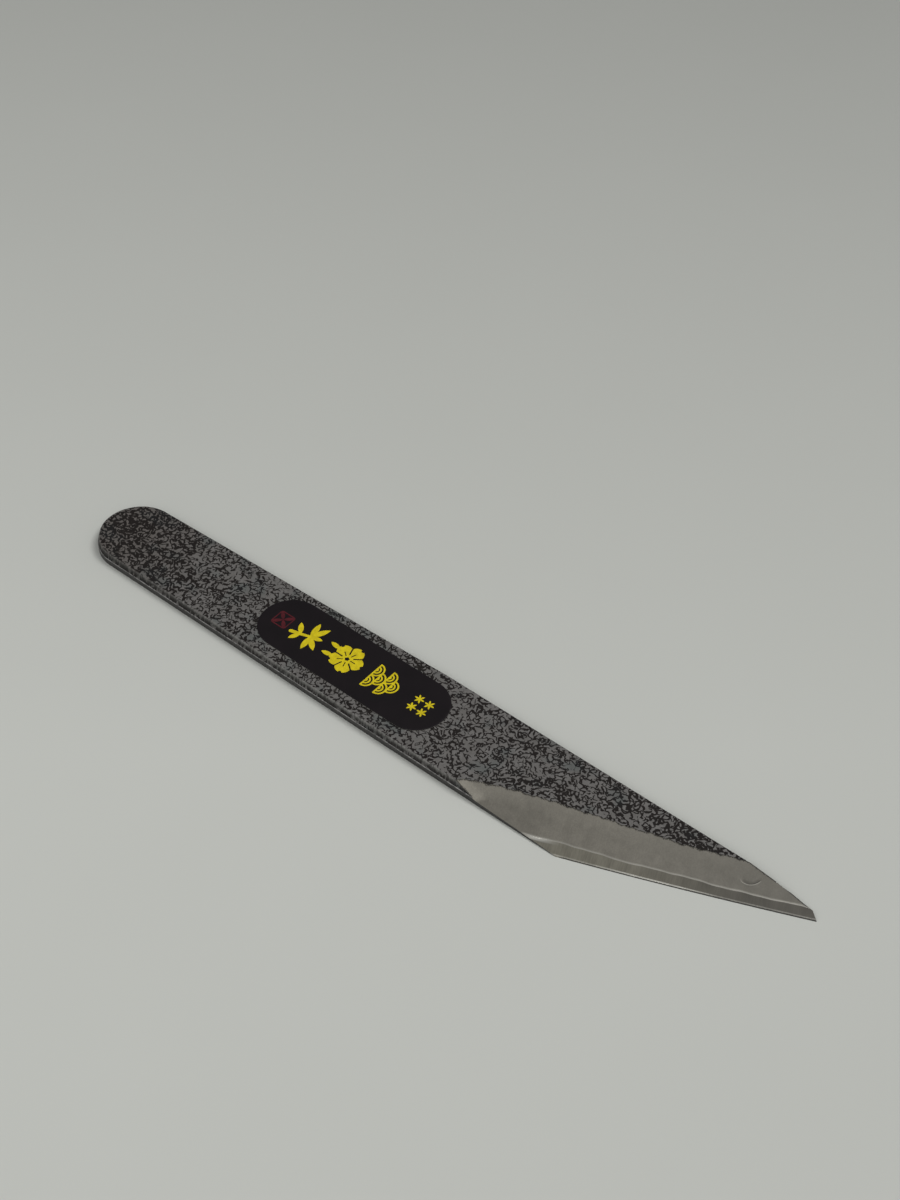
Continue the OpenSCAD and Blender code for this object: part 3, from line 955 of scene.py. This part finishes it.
def make_iron():
    turns = np.radians(np.arange(-100.0, -12.0, 2.2))
    wall = np.c_[np.cos(turns), np.sin(turns)]
    arcs = [NICK_MID + (NICK_R + d) * wall for d in NICK_ROWS]
    crest = [OUTER + d * OUTER_IN for d in CREST_ROWS]
    plan, triangles = fill(ground_loop(), 0.28, arcs + crest, seed=7, clear=0.4)
    z = np.maximum(iron_height(plan), STEEL_T)
    z[far_from(WELD_TREE, plan) < AT] = STEEL_T
    bevel = with_z(plan, z)
    for end in (SHOULDER[A_NEAR], SHOULDER[A_FAR]):
        bevel[np.hypot(*(plan - end).T) < AT, 2] = RIM_Z
    ground = ((A_NEAR, B_NEAR), (B_FAR, A_FAR))
    top_rim = with_z(OUTER, rim_heights(bevel, ARRIS_FOOT - SHOULDER_DROP, *ground))
    side = span(top_rim, B_FAR, B_NEAR)
    shell = Shell()
    shell.patch(bevel, triangles, 0)
    shell.patch(SEAT_POINTS, SEAT_TRIANGLES, 1)
    shell.strip(with_z(GRIND, heights_at(bevel, GRIND)), SEAT_GRIND_3D, 1)
    shell.strip(with_z(COATED_RIM, RIM_Z), with_z(SEAT_RIM, RIM_Z), 1)
    shell.strip(span(top_rim, A_FAR, A_NEAR), with_z(COATED_RIM, RIM_Z), 2)
    low = side.copy()
    low[:, 2] = STEEL_T
    middle = (side + low) / 2
    shell.strip(side, middle, 1)
    shell.strip(middle, low, 1)
    under, under_triangles = fill(UNDER_LOOP)
    shell.patch(with_z(under, STEEL_T), under_triangles, 1)
    piece = shell.build("iron_bar", [bevel_material(), IRON_SIDE, SHOULDER_METAL], sharp=28)
    co = places_of(piece)[:, :2]
    keep_value(piece, "rim", far_from(tree_of(GRIND), co))
    keep_value(piece, "ridge", far_from(WELD_TREE, co))
    keep_value(piece, "nick", nick(co) / NICK_DEPTH)
    # Marks the bevel's rim on the spine's side, which the material paints with shade.
    keep_value(piece, "spine", (co[:, 1] > 0) * (1.0 - smooth(inset_of(co), 0.08, 0.22)))
    return piece


SCOOP_DEPTH = 0.10
BACK_HOLLOW = 0.12        # depth of the hollow ground in the back of the blade
BACK_RIM = 2.6            # flat left round that hollow
EDGE_ROWS = (0.14, 0.19, 0.36, 0.44)                             # in from the cutting edge


def strip_height(plan):
    return bevel_height(plan) - SCOOP_DEPTH * scoop(plan)


def back_hollow(plan):
    """1 inside the hollow of the back and 0 on its flat rim."""
    off_rim = smooth(inset_of(plan), BACK_RIM, BACK_RIM + 1.4)
    return off_rim * smooth(plan[:, 0], HEEL[0] - 20.0, HEEL[0] - 12.0)


def make_steel():
    strip_loop = np.vstack([span(OUTER, B_NEAR, B_FAR), WELD[::-1][1:-1]])
    near_edge = [edge_at(np.arange(FINE, CHORD_L, FINE)) + d * INTO for d in EDGE_ROWS]
    plan, triangles = fill(strip_loop, 0.22, near_edge, seed=9)
    z = np.clip(strip_height(plan), MICRO_T, STEEL_T)
    z[far_from(WELD_TREE, plan) < AT] = STEEL_T
    strip = with_z(plan, z)
    shell = Shell()
    shell.patch(strip, triangles, 0)
    under, under_triangles = fill(UNDER_LOOP)
    shell.patch(with_z(under, STEEL_T), under_triangles, 1)

    top_z = rim_heights(strip, STEEL_T, (B_NEAR, B_FAR))
    middle_z = np.minimum(COAT_T, top_z * 0.5)
    inset = BACK_CHAMFER * smooth(top_z, 0.1, 0.5)[:, None]
    top, middle = with_z(OUTER, top_z), with_z(OUTER, middle_z)
    bottom = with_z(OUTER + inset * OUTER_IN, 0.0)
    shell.strip(span(top, *HANDLE), span(middle, *HANDLE), 1)
    shell.strip(span(top, *BLADE), span(middle, *BLADE), 1)
    shell.strip(span(middle, *BLADE), span(bottom, *BLADE), 1)
    handle_plan, handle_triangles = fill(span(OUTER, *HANDLE))
    shell.patch(with_z(handle_plan, COAT_T), handle_triangles, 1)
    blade_plan, blade_triangles = fill(span(bottom, *BLADE)[:, :2], 0.5, seed=11)
    shell.patch(with_z(blade_plan, BACK_HOLLOW * back_hollow(blade_plan)), blade_triangles, 2)
    shell.strip(middle[[STEP_NEAR, STEP_FAR]], bottom[[STEP_NEAR, STEP_FAR]], 1)
    piece = shell.build("hard_steel", [strip_material(), STEEL_SIDE, back_material()], sharp=20)
    co = places_of(piece)
    s, n = to_edge(co[:, :2])
    keep_value(piece, "ridge", far_from(WELD_TREE, co))
    # A painted highlight along the edge's last honing.
    edge_glint = smooth(n, 0.14, 0.19) * (1.0 - smooth(n, 0.34, 0.42))
    edge_glint *= (0.3 + 0.7 * smooth(s, 6.0, 16.0)) * (1.0 - 0.8 * smooth(s, 20.0, 34.0))
    keep_value(piece, "edge_glint", edge_glint)
    # A painted shadow along the very edge.
    keep_value(piece, "edge_shadow", (1.0 - smooth(n, 0.13, 0.2)) * smooth(s, 0.0, 2.0))
    keep_value(piece, "scoop", scoop(co[:, :2]))
    keep_value(piece, "hollow", back_hollow(co[:, :2]))
    return piece


def make_back_coat():
    rim = span(OUTER, *HANDLE)
    low = span(OUTER + BACK_CHAMFER * OUTER_IN, *HANDLE)
    low[[0, -1], 0] = BACK_COAT_X
    shell = Shell()
    top_plan, top_triangles = fill(rim)
    shell.patch(with_z(top_plan, COAT_T), top_triangles)
    plan, triangles = fill(low, 0.35, seed=13)
    shell.patch(with_z(plan, 0.0), triangles)
    shell.strip(with_z(rim, COAT_T), with_z(low, 0.0))
    shell.strip(with_z(rim[[0, -1]], COAT_T), with_z(low[[0, -1]], 0.0))
    piece = shell.build("back_scale", [scale_material()], sharp=50)
    co = places_of(piece)
    inside = smooth(inset_of(co[:, :2]), 0.3, 0.9) * smooth(BACK_COAT_X - co[:, 0], 0.2, 1.0)
    keep_value(piece, "skin", (co[:, 2] < 0.01) * inside)
    relief_modifier(piece, "scale_relief", scale_pattern, 0.03)
    apply_modifiers(piece)
    return piece


def stadium(low, high, inset, steps=64):
    """Plan outline of a box with round ends, drawn in by an inset."""
    middle = (low + high) / 2
    r = (high[1] - low[1]) / 2
    half = (high[0] - low[0]) / 2 - r
    turns = np.linspace(-math.pi / 2, math.pi / 2, steps)
    right = np.c_[half + (r - inset) * np.cos(turns), (r - inset) * np.sin(turns)]
    return middle[:2] + np.vstack([right, -right])


def make_film():
    low, high = FILM_LOW, FILM_HIGH
    levels = [(0.0, low[2]), (0.0, high[2] - 0.035), (0.012, high[2] - 0.012), (0.04, high[2])]
    loops = [with_z(stadium(low, high, d), z) for d, z in levels]
    shell = Shell()
    for a, b in zip(loops, loops[1:]):
        shell.strip(a, b, closed=True)
    under, triangles = fill(loops[0][:, :2])
    shell.patch(with_z(under, low[2]), triangles)
    plan, triangles = fill(loops[-1][:, :2], 0.6, seed=15)
    shell.patch(with_z(plan, high[2]), triangles)
    return shell.build("label_sheet", [film_material()], sharp=40)


IRON_SIDE = side_material("iron_side", grey(0.060, 0.03), grey(0.105, 0.03), 0.48)
STEEL_SIDE = side_material("steel_side", grey(0.055, 0.02), grey(0.095, 0.03), 0.44)
SHOULDER_METAL = side_material("shoulder_metal", grey(0.10, 0.03), grey(0.42, 0.03), 0.42)

PIECES = (
    (make_front_coat(), "front_coat", "front_coat"),
    (make_iron(), "iron_body", "iron"),
    (make_steel(), "hard_steel_layer", "hard_steel"),
    (make_back_coat(), "back_coat", "back_coat"),
    (make_film(), "label_film", "film"),
)
for piece, node, slot_name in PIECES:
    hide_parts(node)
    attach(piece, "root")

YELLOW = ink_material("yellow_ink", (0.60, 0.48, 0.006, 1.0), (0.74, 0.60, 0.008, 1.0))
RED = ink_material("red_ink", (0.062, 0.006, 0.010, 1.0), (0.095, 0.008, 0.013, 1.0))
CAD_LOOKS = {
    "label_bamboo": YELLOW, "label_blossom": YELLOW, "label_waves": YELLOW, "label_stars": YELLOW,
    "label_seal": RED, "label_glue": glue_material(),
}
for node, material in CAD_LOOKS.items():
    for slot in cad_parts[node].material_slots:
        slot.material = material


# ---------------------------------------------------------------- floor, light and camera

FLOOR_HALF, FLOOR_DROP = 1.6, 0.00002
WORLD_BRIGHT, WORLD_DIM = 0.33, 0.13
CAMERA_AZIMUTH, CAMERA_ELEVATION = math.radians(39.68), math.radians(45.88)
CAMERA_AIM = Vector((-0.0165, 0.0296, 0.0))
CAMERA_DISTANCE = 0.4332
LEVEL = math.cos(CAMERA_ELEVATION)
CAMERA_LOOK = Vector((-math.sin(CAMERA_AZIMUTH) * LEVEL, math.cos(CAMERA_AZIMUTH) * LEVEL,
                      -math.sin(CAMERA_ELEVATION)))
UP = Vector((0.0, 0.0, 1.0))
MIDDLE = Vector((0.0, 0.0, 0.0))


def make_floor():
    """Pale paint with painted shade: a little darker far away and to the right."""
    mesh = bpy.data.meshes.new("floor")
    corners = [(x * FLOOR_HALF, y * FLOOR_HALF, 0) for x, y in ((-1, -1), (1, -1), (1, 1), (-1, 1))]
    mesh.from_pydata(corners, [], [(0, 1, 2, 3)])
    floor = bpy.data.objects.new("floor", mesh)
    floor.location.z = -FLOOR_DROP
    bpy.context.scene.collection.objects.link(floor)
    material, tree, shader, at = new_material("floor_paint")
    cloud = noise(tree, at, 0.02, 2.0)
    paint = mix(tree, cloud, (0.595, 0.605, 0.565, 1), (0.61, 0.62, 0.58, 1))
    away = stretched(tree, at, tuple(AWAY))
    depth = calc(tree, "ADD", axis_of(tree, away, 0), axis_of(tree, away, 1))
    side = stretched(tree, at, tuple(RIGHT))
    side = calc(tree, "ADD", axis_of(tree, side, 0), axis_of(tree, side, 1))
    # Painted shade: the paint is darkened far away and to the right, in place of the light's fall-off.
    painted_falloff = remap(tree, depth, -10.0, 300.0, 1.0, 0.70)
    painted_falloff = calc(tree, "MULTIPLY", painted_falloff, remap(tree, side, -130.0, 130.0, 1.06, 0.93))
    tree.links.new(mix(tree, 1.0, paint, painted_falloff, "MULTIPLY"), shader.inputs["Base Color"])
    shader.inputs["Roughness"].default_value = 0.8
    shader.inputs["Specular IOR Level"].default_value = 0.15
    mesh.materials.append(material)


def add_area(name, place, size, power):
    """A rectangular lamp that faces the middle of the knife; sizes in metres, power in watts."""
    lamp = bpy.data.lights.new(name, "AREA")
    lamp.shape, lamp.size, lamp.size_y, lamp.energy = "RECTANGLE", size[0], size[1], power
    holder = bpy.data.objects.new(name, lamp)
    holder.location = place
    aim = MIDDLE - place
    holder.rotation_euler = aim.to_track_quat("-Z", "Y").to_euler()
    bpy.context.scene.collection.objects.link(holder)


def make_world():
    """Grey surroundings, dimmer towards the side that flat faces mirror to the camera."""
    world = bpy.data.worlds.new("studio")
    world.use_nodes = True
    tree = world.node_tree
    back = tree.nodes["Background"]
    back.inputs["Color"].default_value = (0.98, 0.99, 1.0, 1.0)
    mirrored = AWAY + UP
    around = tree.nodes.new("ShaderNodeTexCoord").outputs["Generated"]
    facing = tree.nodes.new("ShaderNodeVectorMath")
    facing.operation = "DOT_PRODUCT"
    tree.links.new(around, facing.inputs[0])
    facing.inputs[1].default_value = mirrored.normalized()
    strength = remap(tree, facing.outputs["Value"], 0.45, 0.95, WORLD_BRIGHT, WORLD_DIM, soft=True)
    tree.links.new(strength, back.inputs["Strength"])
    bpy.context.scene.world = world


def make_camera():
    lens = bpy.data.cameras.new("camera")
    lens.lens, lens.sensor_width = 60.0, 36.0
    lens.clip_start = 0.01
    camera = bpy.data.objects.new("camera", lens)
    right = CAMERA_LOOK.cross(UP).normalized()
    up = right.cross(CAMERA_LOOK)
    turn = Matrix((right, up, -CAMERA_LOOK)).transposed()
    camera.matrix_world = Matrix.Translation(CAMERA_AIM - CAMERA_DISTANCE * CAMERA_LOOK) @ turn.to_4x4()
    bpy.context.scene.collection.objects.link(camera)
    bpy.context.scene.camera = camera
    return right


RIGHT = make_camera()
AWAY = Vector((-RIGHT.y, RIGHT.x, 0.0))
make_floor()
make_world()
add_area("right_lamp", RIGHT * 0.95 + AWAY * 0.12 + UP * 1.7, (0.8, 0.8), 16.5)
add_area("near_lamp", -AWAY * 1.4 + UP * 1.3, (1.0, 0.8), 6.0)
add_area("left_lamp", -RIGHT * 1.5 + UP * 1.3, (0.9, 0.9), 5.0)
bpy.context.scene.view_settings.view_transform = "Standard"
